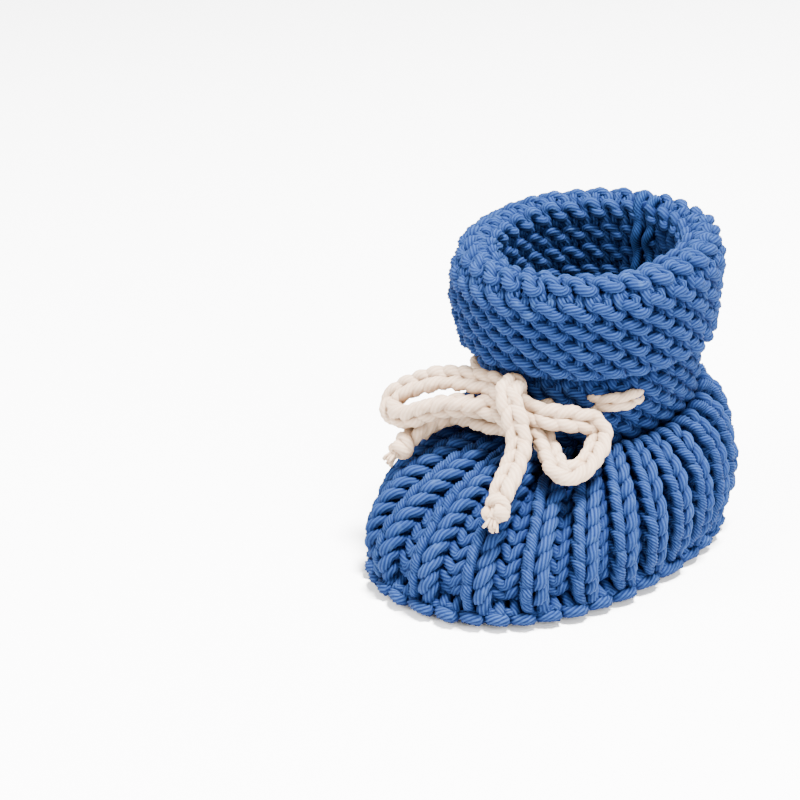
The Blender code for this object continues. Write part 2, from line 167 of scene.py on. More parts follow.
# Stitches.
GARTER_YARN = 1.2
GARTER_STITCHES = 30  # round the leg
GARTER_ROW = 2.15  # height of one row; two rows make a ridge
GARTER_BEND, GARTER_RISE, GARTER_DEPTH = 0.20, 0.92, 1.3
GARTER_LEAN, GARTER_SHIFT = -0.22, 0.12  # each bump leans, and every second row sits aside
GARTER_SWELL = (-0.15, -0.617, 0.15, -0.383)  # depth of a knit loop: mean, then cosines of t, 2t, 3t
GARTER_SAMPLES, GARTER_WOBBLE = 26, 0.16
LEG_GARTER_DEPTH = 0.95
CUFF_ROWS, RIM_ROWS, LEG_ROWS = (1.2, 0.4), (1.75, 0.2), (1.9, 0.3)  # left free at a zone's ends
BAND_ROWS = (-1.6, 11.6)  # from the first row to the last
RIB_YARN = 1.27
RIB_ROW = 3.85
RIB_LOOP = [  # one stitch of a rib: sideways, rise in rows, depth
    (-2.2, -0.12, -4.6), (-1.2, -0.34, -4.2), (-0.9, -0.26, -2.8), (-1.2, 0.05, -1.5),
    (-1.45, 0.45, -1.0), (-1.6, 0.85, -1.2), (-1.6, 1.12, -2.3), (-1.2, 1.36, -3.9),
    (0.1, 1.45, -4.4), (1.6, 1.38, -4.1), (2.2, 1.2, -3.1), (2.1, 0.95, -1.9),
    (1.65, 0.55, -1.0), (1.05, 0.16, -0.9), (0.5, -0.12, -2.1), (0.8, -0.34, -4.0),
]
RIB_BAR = [  # share of the valley, rise, depth
    (0.0, 0.35, -4.7), (0.22, 0.25, -4.0), (0.5, -0.3, -4.1), (0.78, 0.25, -4.0), (1.0, 0.35, -4.7),
]
RIB_TAIL = (1.2, 0.3, -5.0)  # where a bar dives: sideways, rise, depth
RIB_TWIST_LEFT, RIB_TWIST_RIGHT = 1.9, 0.45  # a loop's bends tighten the twist on one side
RIB_TWIST_AT = (1, 3, 6, 8, 10, 12, 14, 16)  # points of a loop where the twist changes
RIB_HALF = 2.4  # where the valley begins, beside a rib's middle
RIB_VALLEY = 0.6  # least width of a valley
RIB_SQUEEZE, RIB_FULL_WIDTH = 0.3, 10.5  # how loops narrow with the ribs
RIB_WOBBLE, RIB_LOWEST = 0.12, -2.2
RIB_FIRST, RIB_LAST = -0.7, 1.2  # the first stitch, and the last one below the ribs' top
RIB_SAMPLES = 60
LINING_AROUND, LINING_UP, LINING_TOP = RIB_COUNT * 12, 96, 0.985
LINING_DEPTHS = (-5.4, -6.6)
LINING_ROWS, LINING_BUMP, LINING_RIPPLE = 13, 0.5, 0.3
LINING_RUN, LINING_TURNS = 0.8, 9  # the fibres' coordinates: along each column, and up the foot
SOLE_YARN, SOLE_DEPTH, SOLE_RINGS, SOLE_STITCH = 1.3, 0.45, 13, 5.6
SOLE_MIDDLE, SOLE_INSET, SOLE_SEAM_SHARE, SOLE_HEIGHT = 4.0, 4.4, 0.62, 2.05
SOLE_WOBBLE, SOLE_LEAST_STITCHES = 0.1, 8
EDGE_YARN, EDGE_STITCHES, EDGE_DEPTH, EDGE_ROW = 1.1, 50, 0.5, 0.7
EDGE_INSET, EDGE_FLARE, EDGE_HEIGHT, EDGE_TILT = 5.5, 0.3, 2.5, -0.25

# Seams.
SEWING_PITCH, SEWING_SWAY, SEWING_ARCH, SEWING_YARN = 4.3, 1.0, 0.5, 0.8
SEAM_SAMPLES = 40
SOLE_SEAM_FROM, SOLE_SEAM_TO, SOLE_SEAM_HEIGHT = -34.0, 32.0, 4.2
HEEL_SEAM_FROM, HEEL_SEAM_TO, HEEL_SEAM_DEPTH = 0.15, 0.84, -5.9
LEG_SEAM_FROM, LEG_SEAM_PITCH, LEG_SEAM_WAVE = 0.55, 7.0, 0.4
LEG_SEAM_ROPES = ((0.075, 0.012, 1.5), (-0.075, 0.03, 1.2))  # aside, sway, depth
LEG_SEAM_YARN, LEG_SEAM_TWIST = 1.25, 1.6

# Cream cord: a crocheted chain of one strand.
CHAIN_YARN = 1.4
CHAIN_PITCH = 3.6
CREAM_GROOVE = 0.90  # softer plies than the blue yarn's
CHAIN_LOOP = [  # sideways, along in stitches, outwards
    (-0.4, 0.0, 0.0), (-1.0, 0.35, 0.75), (-1.5, 0.85, 0.8), (-1.2, 1.25, 0.1),
    (0.0, 1.4, -0.4), (1.2, 1.25, 0.1), (1.5, 0.85, 0.8), (1.0, 0.35, 0.75),
    (0.4, 0.0, 0.0), (0.2, 0.2, -0.9), (0.0, 0.6, -1.3),
]
CHAIN_BACK, CHAIN_WOBBLE, CHAIN_STEP = 0.4, 0.07, 0.5
KNOT_SIZE, TIE_SIZE = 0.95, 0.72  # of the stitches
STOPPER_AWAY, TUFT_LENGTH, CORD_END = 2.7, 2.6, 7.0  # past the end of a tail's chain
STOPPER_TURNS, STOPPER_COIL, STOPPER_REACH, STOPPER_YARN = 1.8, 1.5, 1.2, 1.3
CORE_FROM, CORE_YARN, END_STEP = 0.6, (1.6, 1.2), 0.45  # the yarn that runs through a stopper
TUFT_STRANDS, TUFT_YARN, TUFT_SAG = 16, 0.34, 0.5
TUFT_ROOT, TUFT_ROOT_RADIUS, TUFT_SPREAD = 1.6, 0.7, 0.9


# ---------------------------------------------------------------- camera, light and floor

def add_camera():
    data = bpy.data.cameras.new("camera")
    data.lens = CAMERA_LENS
    data.sensor_width = CAMERA_SENSOR
    camera = bpy.data.objects.new("camera", data)
    bpy.context.scene.collection.objects.link(camera)
    a, e = math.radians(CAMERA_AZIMUTH), math.radians(CAMERA_ELEVATION)
    back = Vector((math.sin(a) * math.cos(e), -math.cos(a) * math.cos(e), math.sin(e)))
    right = Vector((math.cos(a), math.sin(a), 0.0))
    level = Matrix((right, back.cross(right), back)).transposed()
    roll = Matrix.Rotation(math.radians(CAMERA_ROLL), 3, "Z")
    camera.matrix_world = Matrix.Translation(CAMERA_PLACE) @ (level @ roll).to_4x4()
    bpy.context.scene.camera = camera


def add_light(name, place, size, power):
    data = bpy.data.lights.new(name, "AREA")
    data.size = size
    data.energy = power
    light = bpy.data.objects.new(name, data)
    light.location = place
    light.rotation_euler = (Vector(LIGHTS_AIM) - Vector(place)).to_track_quat("-Z", "Y").to_euler()
    bpy.context.scene.collection.objects.link(light)


def add_studio():
    world = bpy.data.worlds.new("studio")
    world.use_nodes = True
    sky = world.node_tree.nodes["Background"]
    sky.inputs["Color"].default_value = (1, 1, 1, 1)
    sky.inputs["Strength"].default_value = WORLD_STRENGTH
    bpy.context.scene.world = world
    for name, (spot, size, power) in LIGHTS.items():
        add_light(name, spot, size, power)
    bpy.ops.mesh.primitive_plane_add(size=FLOOR_SIZE)
    floor = bpy.context.object
    floor.name = "floor"
    finish = bpy.data.materials.new("floor_white")
    finish.use_nodes = True
    shader = finish.node_tree.nodes["Principled BSDF"]
    shader.inputs["Base Color"].default_value = FLOOR_COLOUR
    shader.inputs["Roughness"].default_value = FLOOR_ROUGHNESS
    floor.data.materials.append(finish)


# ---------------------------------------------------------------- materials

class Nodes:
    """Short names for making a node tree."""

    def __init__(self, name):
        self.material = bpy.data.materials.new(name)
        self.material.use_nodes = True
        self.tree = self.material.node_tree
        self.shader = self.tree.nodes["Principled BSDF"]

    def add(self, kind, settings=(), **inputs):
        node = self.tree.nodes.new(kind)
        for key, value in dict(settings).items():
            setattr(node, key, value)
        for name, value in inputs.items():
            self.set(node, name, value)
        return node

    def set(self, node, socket, value):
        """Links a node's output to the named or numbered input, or gives the input a value."""
        if isinstance(value, bpy.types.NodeSocket):
            self.tree.links.new(value, node.inputs[socket])
        else:
            node.inputs[socket].default_value = value

    def math(self, operation, a, b):
        node = self.add("ShaderNodeMath", {"operation": operation})
        self.set(node, 0, a)
        self.set(node, 1, b)
        return node.outputs[0]

    def mix(self, share, a, b):
        node = self.add("ShaderNodeMix", {"data_type": "RGBA"})
        for socket, value in ((0, share), (6, a), (7, b)):
            self.set(node, socket, value)
        return node.outputs[2]

    def noise(self, where, scale, detail):
        return self.add("ShaderNodeTexNoise", Vector=where, Scale=scale, Detail=detail).outputs[0]

    def above(self, value, level, strength):
        """How far the value is above the level, times the strength, and never below 0."""
        over = self.math("SUBTRACT", value, level)
        return self.math("MAXIMUM", self.math("MULTIPLY", over, strength), 0.0)


def yarn_material(name, light, mid, painted_shade, fleck, fleck_share, groove_painted_shade, crease_shade_power, fluff):
    """Soft plied yarn: fibres along each ply, flecks, and painted shade in the grooves and creases."""
    n = Nodes(name)
    where = n.add("ShaderNodeTexCoord").outputs["Object"]
    yarn_uv = n.add("ShaderNodeUVMap", {"uv_map": "Yarn"}).outputs["UV"]
    groove = n.add("ShaderNodeAttribute", {"attribute_name": "groove"}).outputs["Fac"]
    along = n.add("ShaderNodeMapping", Vector=yarn_uv, Scale=FIBRE_STRETCH)
    fibres = n.noise(along.outputs[0], 1.0, 3.0)
    shade = n.noise(where, SHADE_SCALE, 2.0)
    fuzz = n.noise(where, FUZZ_SCALE, 2.0)
    spots = n.noise(where, SPOT_SCALE, 1.0)
    body = n.mix(n.math("MULTIPLY", shade, SHADE_SHARE), mid, light)
    # Painted shade: the ply grooves are mixed towards the darkest colour.
    body = n.mix(n.math("MULTIPLY", groove, groove_painted_shade), body, painted_shade)
    body = n.mix(n.above(fibres, FIBRE_FROM, FIBRE_STRENGTH), body, light)
    body = n.mix(n.above(spots, SPOT_FROM, fleck_share), body, fleck)
    # Painted shade: ambient occlusion mixes the colour towards the darkest one in creases near other
    # yarns.
    painted_crease_shade = n.add("ShaderNodeAmbientOcclusion", {"samples": CREASE_SHADE_SAMPLES}, Distance=CREASE_SHADE_DISTANCE)
    body = n.mix(n.math("POWER", painted_crease_shade.outputs["AO"], crease_shade_power), painted_shade, body)
    heights = n.math("ADD", fibres, n.math("MULTIPLY", fuzz, FUZZ_SHARE))
    bump = n.add("ShaderNodeBump", Height=heights, Strength=BUMP, Distance=fluff)
    for socket, value in (("Base Color", body), ("Roughness", YARN_ROUGHNESS), ("Sheen Weight", SHEEN),
                          ("Sheen Roughness", SHEEN_ROUGHNESS), ("Sheen Tint", light),
                          ("Specular IOR Level", YARN_SPECULAR), ("Normal", bump.outputs[0])):
        n.set(n.shader, socket, value)
    return n.material


# ---------------------------------------------------------------- strands

def unit(vectors):
    return vectors / np.maximum(np.linalg.norm(vectors, axis=-1, keepdims=True), 1e-9)


def smooth(points, samples=8):
    """A Catmull-Rom curve through the points, with this many samples between two of them."""
    points = np.asarray(points, float)
    padded = np.vstack([2 * points[0] - points[1], points, 2 * points[-1] - points[-2]])
    u = np.linspace(0, 1, samples, endpoint=False)[None, :, None]
    a, b, c, d = (padded[i:len(points) - 1 + i, None, :] for i in range(4))
    curve = 0.5 * (2 * b + (c - a) * u + (2 * a - 5 * b + 4 * c - d) * u**2
                   + (3 * b - a - 3 * c + d) * u**3)
    return np.vstack([curve.reshape(-1, points.shape[1]), points[-1:]])


def run_along(points):
    """The length of a polyline up to each of its points."""
    return np.concatenate([[0], np.cumsum(np.linalg.norm(np.diff(points, axis=0), axis=1))])


def respace(points, step, *others):
    """The polyline at even spacing, and other values along it."""
    run = run_along(points)
    count = max(3, int(round(run[-1] / step)) + 1)
    at = np.linspace(0, run[-1], count)
    made = []
    for values in (points, *others):
        values = np.asarray(values, float)
        if values.ndim == 1:
            made.append(np.interp(at, run, values))
        else:
            made.append(np.stack([np.interp(at, run, values[:, i]) for i in range(values.shape[1])], 1))
    return made


class Skein:
    """Gathers swept strands and turns them into one mesh object."""

    def __init__(self, groove=PLY_GROOVE, uneven=BLUE_UNEVEN, step=RING_STEP):
        self.sides, self.step = 2 * PLIES, step
        self.groove, self.uneven = groove, uneven
        self.points, self.quads, self.uvs, self.caps = [], [], [], []
        self.count = 0

    def strand(self, line, facing, radius, step=None, twist=1.0):
        """Sweeps plied yarn along a line. Facing is the fabric's normal beside each point."""
        step = step or self.step
        line, facing, size, twist = respace(line, step, facing, np.broadcast_to(radius, len(line)),
                                            np.broadcast_to(twist, len(line)))
        rings = len(line)
        along = unit(np.gradient(line, axis=0))
        front = unit(facing - np.sum(facing * along, 1, keepdims=True) * along)
        side = np.cross(along, front)
        run = run_along(line)
        start = rng.uniform(0, 2 * math.pi)
        turn = start - 2 * math.pi * np.cumsum(twist) * (run[1] - run[0]) / TWIST_PITCH
        k = np.arange(self.sides)
        angle = turn[:, None] + 2 * math.pi * k / self.sides
        shape = np.where(k % 2 == 0, 1.0, self.groove)
        knots = np.arange(0, run[-1] + 2 * UNEVEN_LENGTH, UNEVEN_LENGTH)
        size = size * (1 + np.interp(run, knots, rng.normal(0, self.uneven, len(knots))))
        reach = (size[:, None] * shape)[..., None]
        ring = line[:, None] + reach * (np.cos(angle)[..., None] * front[:, None]
                                        + np.sin(angle)[..., None] * side[:, None])
        self.points.append(ring.reshape(-1, 3))
        base = self.count + np.arange(rings - 1)[:, None] * self.sides
        here, there = base + k, base + (k + 1) % self.sides
        quads = np.stack([here, there, there + self.sides, here + self.sides], -1).reshape(-1, 4)
        self.quads.append(quads)
        u = np.broadcast_to(run[:-1, None], (rings - 1, self.sides))
        v = np.broadcast_to(k / self.sides, (rings - 1, self.sides))
        du, dv = run[1] - run[0], 1 / self.sides
        uv = np.stack([np.stack([u, v], -1), np.stack([u, v + dv], -1),
                       np.stack([u + du, v + dv], -1), np.stack([u + du, v], -1)], 2)
        self.uvs.append(uv.reshape(-1, 2) + [0, start])
        last = self.count + (rings - 1) * self.sides
        self.caps += [list(range(self.count, self.count + self.sides))[::-1],
                      list(range(last, last + self.sides))]
        self.count += rings * self.sides

    def make(self, name, finish):
        points = np.vstack(self.points) * MM
        quads = np.vstack(self.quads)
        loops = np.concatenate([quads.ravel(), np.array(self.caps).ravel()])
        sizes = np.concatenate([np.full(len(quads), 4), np.full(len(self.caps), self.sides)])
        mesh = bpy.data.meshes.new(name)
        mesh.vertices.add(len(points))
        mesh.vertices.foreach_set("co", points.ravel())
        mesh.loops.add(len(loops))
        mesh.loops.foreach_set("vertex_index", loops.astype(np.int32))
        mesh.polygons.add(len(sizes))
        starts = np.concatenate([[0], np.cumsum(sizes)[:-1]])
        mesh.polygons.foreach_set("loop_start", starts.astype(np.int32))
        mesh.polygons.foreach_set("use_smooth", np.ones(len(sizes), bool))
        mesh.update(calc_edges=True)
        self.add_layers(mesh, len(quads))
        made = bpy.data.objects.new(name, mesh)
        bpy.context.scene.collection.objects.link(made)
        mesh.materials.append(finish)
        return made

    def add_layers(self, mesh, quad_count):
        """The yarn's own coordinates, an even layout for baking, and a mark on the grooves, where the
        material paints shade.
        """
        cap_corners = len(self.caps) * self.sides
        yarn = mesh.uv_layers.new(name="Yarn")
        uv = np.vstack([*self.uvs, np.zeros((cap_corners, 2))])
        yarn.data.foreach_set("uv", uv.ravel())
        segments = quad_count // self.sides
        across = int(math.ceil(math.sqrt(segments * self.sides)))
        down = int(math.ceil(segments / across))
        index = np.arange(quad_count)
        segment, side = index // self.sides, index % self.sides
        u, v = (segment % across) / across, (segment // across + side / self.sides) / down
        du, dv = 1 / across, 1 / (down * self.sides)
        corners = np.stack([np.stack([u, v], -1), np.stack([u, v + dv], -1),
                            np.stack([u + du, v + dv], -1), np.stack([u + du, v], -1)], 1)
        bake = mesh.uv_layers.new(name="OFBake")
        flat = np.vstack([corners.reshape(-1, 2), np.zeros((cap_corners, 2))])
        bake.data.foreach_set("uv", flat.ravel())
        groove = mesh.attributes.new("groove", "FLOAT", "POINT")
        marks = np.tile(np.arange(self.sides) % 2, self.count // self.sides)
        groove.data.foreach_set("value", marks.astype(np.float32))


# ---------------------------------------------------------------- surfaces

def superellipse(angle, toe, heel, half_width, centre_y, power):
    """An oval with its own reach to the toe and to the heel. A power above 2 makes it squarer."""
    s, c = np.sin(angle), np.cos(angle)
    reach = np.where(c > 0, toe, heel)
    x = half_width * np.sign(s) * np.abs(s) ** (2 / power)
    return np.stack([x, centre_y - reach * np.sign(c) * np.abs(c) ** (2 / power)], -1)


def foot_outline(angle):
    return superellipse(angle, FOOT_TOE, FOOT_HEEL, FOOT_HALF_WIDTH, 0.0, FOOT_POWER)


def ankle_ring(angle):
    flat = superellipse(angle, ANKLE_TOE, ANKLE_HEEL, ANKLE_HALF_WIDTH, ANKLE_Y, 2.0)
    height = ANKLE_HEIGHT + ANKLE_SLOPE * (flat[..., 1] - ANKLE_Y)
    return np.concatenate([flat, height[..., None]], -1)


def foot_point(angle, t):
    """The foot's outside: a curve from the sole's edge (t = 0) out and up to the ankle (t = 1)."""
    base = foot_outline(angle)
    top = ankle_ring(angle - INSTEP_GATHER * np.sin(angle))
    reach = np.linalg.norm(base - top[..., :2], axis=-1, keepdims=True)
    out = (base - top[..., :2]) / reach
    toe_share = (0.5 + 0.5 * np.cos(angle))[..., None]
    bulge = SIDE_BULGE + (TOE_BULGE - SIDE_BULGE) * toe_share
    shoulder = SHOULDER + SHOULDER_SHARE * np.maximum(0.0, reach - SHOULDER_FROM)
    rise = (SIDE_SHOULDER_DROP + TOE_SHOULDER_RISE) * toe_share - SIDE_SHOULDER_DROP
    level = np.full_like(toe_share, SOLE_THICKNESS)
    p0 = np.concatenate([base - SOLE_EDGE_INSET * out, level], -1)
    p1 = np.concatenate([base + bulge * out, level + BULGE_HEIGHT], -1)
    p2 = np.concatenate([top[..., :2] + shoulder * out, top[..., 2:] + rise], -1)
    t = np.asarray(t)[..., None]
    u = 1 - t
    return u**3 * p0 + 3 * u * u * t * p1 + 3 * u * t * t * p2 + t**3 * top


def foot_surface(angle, t, depth):
    """Points this far outside the foot's surface, and its normals there."""
    step = 0.004
    low, high = np.clip(t - step, 0, 1), np.clip(t + step, 0, 1)
    rise = foot_point(angle, high) - foot_point(angle, low)
    across = foot_point(angle + step, t) - foot_point(angle - step, t)
    normal = unit(np.cross(across, rise))
    return foot_point(angle, t) + np.asarray(depth)[..., None] * normal, normal


def outline_table():
    dense = np.linspace(0, 2 * math.pi, 1441)
    run = run_along(foot_outline(dense))
    return dense, run / run[-1]


OUTLINE_ANGLES, OUTLINE_SHARES = outline_table()


def rib_angle(rib):
    """The angle of a rib number, which may lie between ribs."""
    turns = np.floor(np.asarray(rib) / RIB_COUNT)
    share = np.asarray(rib) / RIB_COUNT - turns
    share = share + RIB_SPREAD * (np.sin(2 * math.pi * share) + np.sin(4 * math.pi * share))
    return np.interp(share, OUTLINE_SHARES, OUTLINE_ANGLES) + 2 * math.pi * turns


def leg_slope(height):
    """How much the fabric rises towards the heel, at this height."""
    share = (height - LEG_BOTTOM) / (SLOPE_TOP - LEG_BOTTOM)
    return CUFF_SLOPE_LOW + (CUFF_SLOPE_TOP - CUFF_SLOPE_LOW) * np.clip(share, -0.5, 1.3)


def fold_profile():
    """Middle line of the leg's fabric: up the cuff, over the rim, and down the leg inside."""
    cuff = np.stack([np.linspace(CUFF_RADIUS_LOW, CUFF_RADIUS_TOP, 20),
                     np.linspace(CUFF_BOTTOM, FOLD_HEIGHT, 20)], 1)
    middle, half = (CUFF_RADIUS_TOP + LEG_RADIUS) / 2, RIM_RADIUS
    turn = np.linspace(0, math.pi, 24)[1:-1]
    rim = np.stack([middle + half * np.cos(turn), FOLD_HEIGHT + half * np.sin(turn)], 1)
    leg = np.stack([np.full(20, LEG_RADIUS), np.linspace(FOLD_HEIGHT, LEG_BOTTOM, 20)], 1)
    line = np.vstack([cuff, rim, leg])
    run = run_along(line)
    along = unit(np.gradient(line, run, axis=0))
    return run, line, np.stack([along[:, 1], -along[:, 0]], 1)


FOLD_RUN, FOLD_LINE, FOLD_OUT = fold_profile()
CUFF_LENGTH = FOLD_HEIGHT - CUFF_BOTTOM + 0.1  # a little more than its height, because it flares
RIM_LENGTH = math.pi * RIM_RADIUS
FOLD_LENGTH = FOLD_RUN[-1]


def fold_surface(angle, s, depth):
    """The cuff, rim and leg in one: s runs up the cuff, over the rim and down inside."""
    radius, height, out, up = (np.interp(s, FOLD_RUN, table[:, i])
                               for table in (FOLD_LINE, FOLD_OUT) for i in (0, 1))
    radius, z = radius + out * depth, height + up * depth
    slump = np.clip(np.sin(np.pi * s / (CUFF_LENGTH + 2)), 0, 1) * (s < CUFF_LENGTH + 2)
    radius = radius + CUFF_SLUMP * slump * np.clip(np.cos(angle - SLUMP_ANGLE), 0, 1) ** 2
    inside = np.clip((s - CUFF_LENGTH) / RIM_LENGTH, 0, 1) ** 2
    radius = radius + LEG_LEAN * inside * np.clip(np.cos(angle - LEAN_ANGLE), -0.3, 1)
    y = -radius * np.cos(angle)
    point = np.stack([radius * np.sin(angle), LEG_Y + y, z + leg_slope(height) * y], -1)
    return point, unit(np.stack([out * np.sin(angle), -out * np.cos(angle), up], -1))


def band_surface(angle, s, depth):
    """The ankle band's middle surface, from the foot (s = 0) up to the leg."""
    low = ankle_ring(angle) + np.array([0, 0, BAND_LIFT])
    share = np.clip(s / BAND_LENGTH, -0.2, 1.1)
    radius = BAND_RADIUS - BAND_TAPER * share**3
    y = -radius * np.cos(angle)
    height = BAND_TOP + CUFF_SLOPE_LOW * y
    high = np.stack([radius * np.sin(angle), LEG_Y + y, height], -1)
    point = low + (high - low) * share[..., None]
    normal = np.stack([np.sin(angle), -np.cos(angle), np.zeros_like(angle)], -1)
    return point + (np.asarray(depth) - BAND_INSET)[..., None] * normal, normal


# ---------------------------------------------------------------- garter stitch

def garter_row(skein, surface, height, stitches, knit, yarn, depth, row=GARTER_ROW,
               wobble=GARTER_WOBBLE):
    """One row of loops. In a knit row the heads stand forward, in a purl row the feet do."""
    count = stitches * GARTER_SAMPLES + 1
    t = np.linspace(0, 2 * math.pi * stitches, count)
    aside = 0.0 if knit else -GARTER_SHIFT
    share = (t / (2 * math.pi) + GARTER_BEND * np.sin(2 * t) + aside) / stitches
    angle = math.pi + 2 * math.pi * np.clip(share, 0, 1)
    knots = np.arange(stitches + 2) * GARTER_SAMPLES
    jitter = np.interp(np.arange(count), knots, rng.normal(0, wobble, len(knots)))
    deepen = np.interp(np.arange(count), knots, rng.normal(0, wobble * 0.8, len(knots)))
    s = height - GARTER_RISE * row * np.cos(t) + GARTER_LEAN * row * np.sin(2 * t) + jitter
    side = 1.0 if knit else -1.0
    swell = sum(a * np.cos(i * t) for i, a in enumerate(GARTER_SWELL))
    point, normal = surface(angle, s, side * depth * swell + deepen)
    skein.strand(point, normal, yarn)


def garter_zone(name, finish, surface, rows, depth=GARTER_DEPTH, first=0, step=RING_STEP):
    """Rows of garter stitch at these heights. First says whether the zone starts knit or purl."""
    skein = Skein(step=step)
    for i, height in enumerate(rows):
        garter_row(skein, surface, height, GARTER_STITCHES, (i + first) % 2 == 0, GARTER_YARN, depth)
    return skein.make(name, finish)


# ---------------------------------------------------------------- ribs

class Rib:
    """One rib column: its run up the foot, and the width to the next rib."""

    def __init__(self, number):
        self.number = number
        self.t = np.linspace(0, 1, RIB_SAMPLES)
        left, middle, right = (foot_point(rib_angle(np.full(RIB_SAMPLES, number + aside)), self.t)
                               for aside in (-0.5, 0.0, 0.5))
        self.run = run_along(middle)
        self.width = np.linalg.norm(right - left, axis=1)

    def place(self, sideways, height, depth):
        t = np.interp(height, self.run, self.t) + np.minimum(height, 0) * self.t[1] / self.run[1]
        width = np.interp(height, self.run, self.width)
        angle = rib_angle(self.number + sideways / width)
        return foot_surface(angle, t, depth)


def rib_stitch(skein, rib, height, row):
    """A knit loop on the rib and the purl bar through the valley to the next rib."""
    loop = np.array(RIB_LOOP)
    width = float(np.interp(height + row / 2, rib.run, rib.width))
    squeeze = min(1.0, RIB_SQUEEZE + width / RIB_FULL_WIDTH)
    bar = np.array(RIB_BAR)
    edge = RIB_HALF * squeeze
    bar_x = edge + bar[:, 0] * max(RIB_VALLEY, width - 2 * edge)
    tail_aside, tail_rise, tail_depth = RIB_TAIL
    sideways = np.concatenate([loop[:, 0] * squeeze, bar_x, [bar_x[-1] + tail_aside * squeeze]])
    rise = np.concatenate([loop[:, 1], bar[:, 1], [tail_rise]])
    depth = np.concatenate([loop[:, 2], bar[:, 2], [tail_depth]])
    jitter = rng.normal(0, RIB_WOBBLE, (len(rise), 3))
    flat = np.stack([sideways, height + rise * row, depth], 1) + jitter
    samples = 8
    flat = smooth(flat, samples)
    twist = np.interp(np.arange(len(flat)) / samples, RIB_TWIST_AT,
                      [1, RIB_TWIST_LEFT, RIB_TWIST_LEFT, 1, RIB_TWIST_RIGHT, RIB_TWIST_RIGHT, 1, 1])
    up = np.clip(flat[:, 1], RIB_LOWEST, rib.run[-1])
    point, normal = rib.place(flat[:, 0], up, flat[:, 2])
    skein.strand(point, normal, RIB_YARN * (0.5 + 0.5 * squeeze), twist=twist)


def rib_zone(name, finish, numbers):
    skein = Skein()
    for number in numbers:
        rib = Rib(number)
        height = rib.run[-1] - RIB_LAST - RIB_FIRST
        count = int(round(height / RIB_ROW))
        row = height / count
        for i in range(count):
            rib_stitch(skein, rib, RIB_FIRST + i * row, row)
    return skein.make(name, finish)


def lining(finish):
    """The fabric's inner face below the ribs: a closed shell with the ribs' and rows' bumps."""
    around, up = LINING_AROUND, LINING_UP
    rib = np.linspace(0, RIB_COUNT, around, endpoint=False)
    t = np.linspace(0.0, LINING_TOP, up)
    rib, t = np.meshgrid(rib, t)
    bumps = LINING_BUMP * np.cos(4 * math.pi * rib) * np.cos(2 * math.pi * t * LINING_ROWS)
    bumps += LINING_RIPPLE * np.cos(4 * math.pi * t * LINING_ROWS)
    shells = [foot_surface(rib_angle(rib), t, depth + bumps)[0] for depth in LINING_DEPTHS]
    points = np.vstack([shell.reshape(-1, 3) for shell in shells])
    faces = []
    inner, top = around * up, (up - 1) * around
    for r in range(up - 1):
        for i in range(around):
            j = (i + 1) % around
            a, b = r * around, (r + 1) * around
            faces.append((a + i, a + j, b + j, b + i))
            faces.append((inner + a + j, inner + a + i, inner + b + i, inner + b + j))
    for i in range(around):
        j = (i + 1) % around
        faces.append((j, i, inner + i, inner + j))
        faces.append((top + i, top + j, inner + top + j, inner + top + i))
    mesh = bpy.data.meshes.new("foot_lining")
    mesh.from_pydata((points * MM).tolist(), [], faces)
    mesh.polygons.foreach_set("use_smooth", [True] * len(faces))
    rise = np.tile(np.repeat(np.linspace(0, LINING_TURNS, up), around), 2)
    corners = np.array(faces).ravel()
    yarn = mesh.uv_layers.new(name="Yarn")
    uv = np.stack([corners % around * LINING_RUN, rise[corners]], 1)
    yarn.data.foreach_set("uv", uv.ravel())
    made = bpy.data.objects.new("foot_lining", mesh)
    bpy.context.scene.collection.objects.link(made)
    mesh.materials.append(finish)
    return made


# ---------------------------------------------------------------- sole

def sole_outline(angle, inset):
    """The foot's outline moved in by the inset, and the direction outwards."""
    edge = foot_outline(angle)
    out = unit(edge - np.array([0.0, SOLE_MIDDLE]))
    return edge - inset * out, out


def sole_surface(inward):
    """Garter rings run round the sole's middle seam. Inward is 0 at the edge and 1 at the seam."""
    def surface(angle, s, depth):
        edge = sole_outline(angle, SOLE_INSET)[0]
        middle = np.stack([np.zeros_like(angle), SOLE_SEAM_SHARE * edge[..., 1]], -1)
        way = np.linalg.norm(edge - middle, axis=-1)
        share = inward + s / way
        flat = edge + (middle - edge) * share[..., None]
        point = np.concatenate([flat, (SOLE_HEIGHT - np.asarray(depth))[..., None]], -1)
        normal = np.broadcast_to(np.array([0.0, 0.0, -1.0]), point.shape)
        return point, normal
    return surface


def edge_surface(angle, s, depth):
    """The upright edge of the sole, below the ribs."""
    inset = (EDGE_INSET - s * EDGE_FLARE - np.asarray(depth))[..., None]
    flat, out = sole_outline(angle, inset)
    point = np.concatenate([flat, (EDGE_HEIGHT + np.asarray(s))[..., None]], -1)
    return point, np.concatenate([out, np.full(out.shape[:-1] + (1,), EDGE_TILT)], -1)


def sole(finish):
    skein = Skein(step=SOLE_STEP)
    angles = np.linspace(0, 2 * math.pi, 181)
    flat = np.zeros(len(angles))
    for i in range(SOLE_RINGS):
        surface = sole_surface((i + 0.5) / (SOLE_RINGS + 0.5))
        length = run_along(surface(angles, flat, flat)[0])[-1]
        stitches = max(SOLE_LEAST_STITCHES, int(round(length / SOLE_STITCH)))
        garter_row(skein, surface, 0.0, stitches, i % 2 == 0, SOLE_YARN, SOLE_DEPTH,
                   wobble=SOLE_WOBBLE)
    return skein.make("sole_knit", finish)


def sole_edge(finish):
    """The row of stitches along the sole's upright edge, where the ribs begin."""
    skein = Skein()
    garter_row(skein, edge_surface, 0.0, EDGE_STITCHES, True, EDGE_YARN, EDGE_DEPTH,
               row=EDGE_ROW, wobble=SOLE_WOBBLE)
    return skein.make("sole_edge_knit", finish)


# ---------------------------------------------------------------- seams

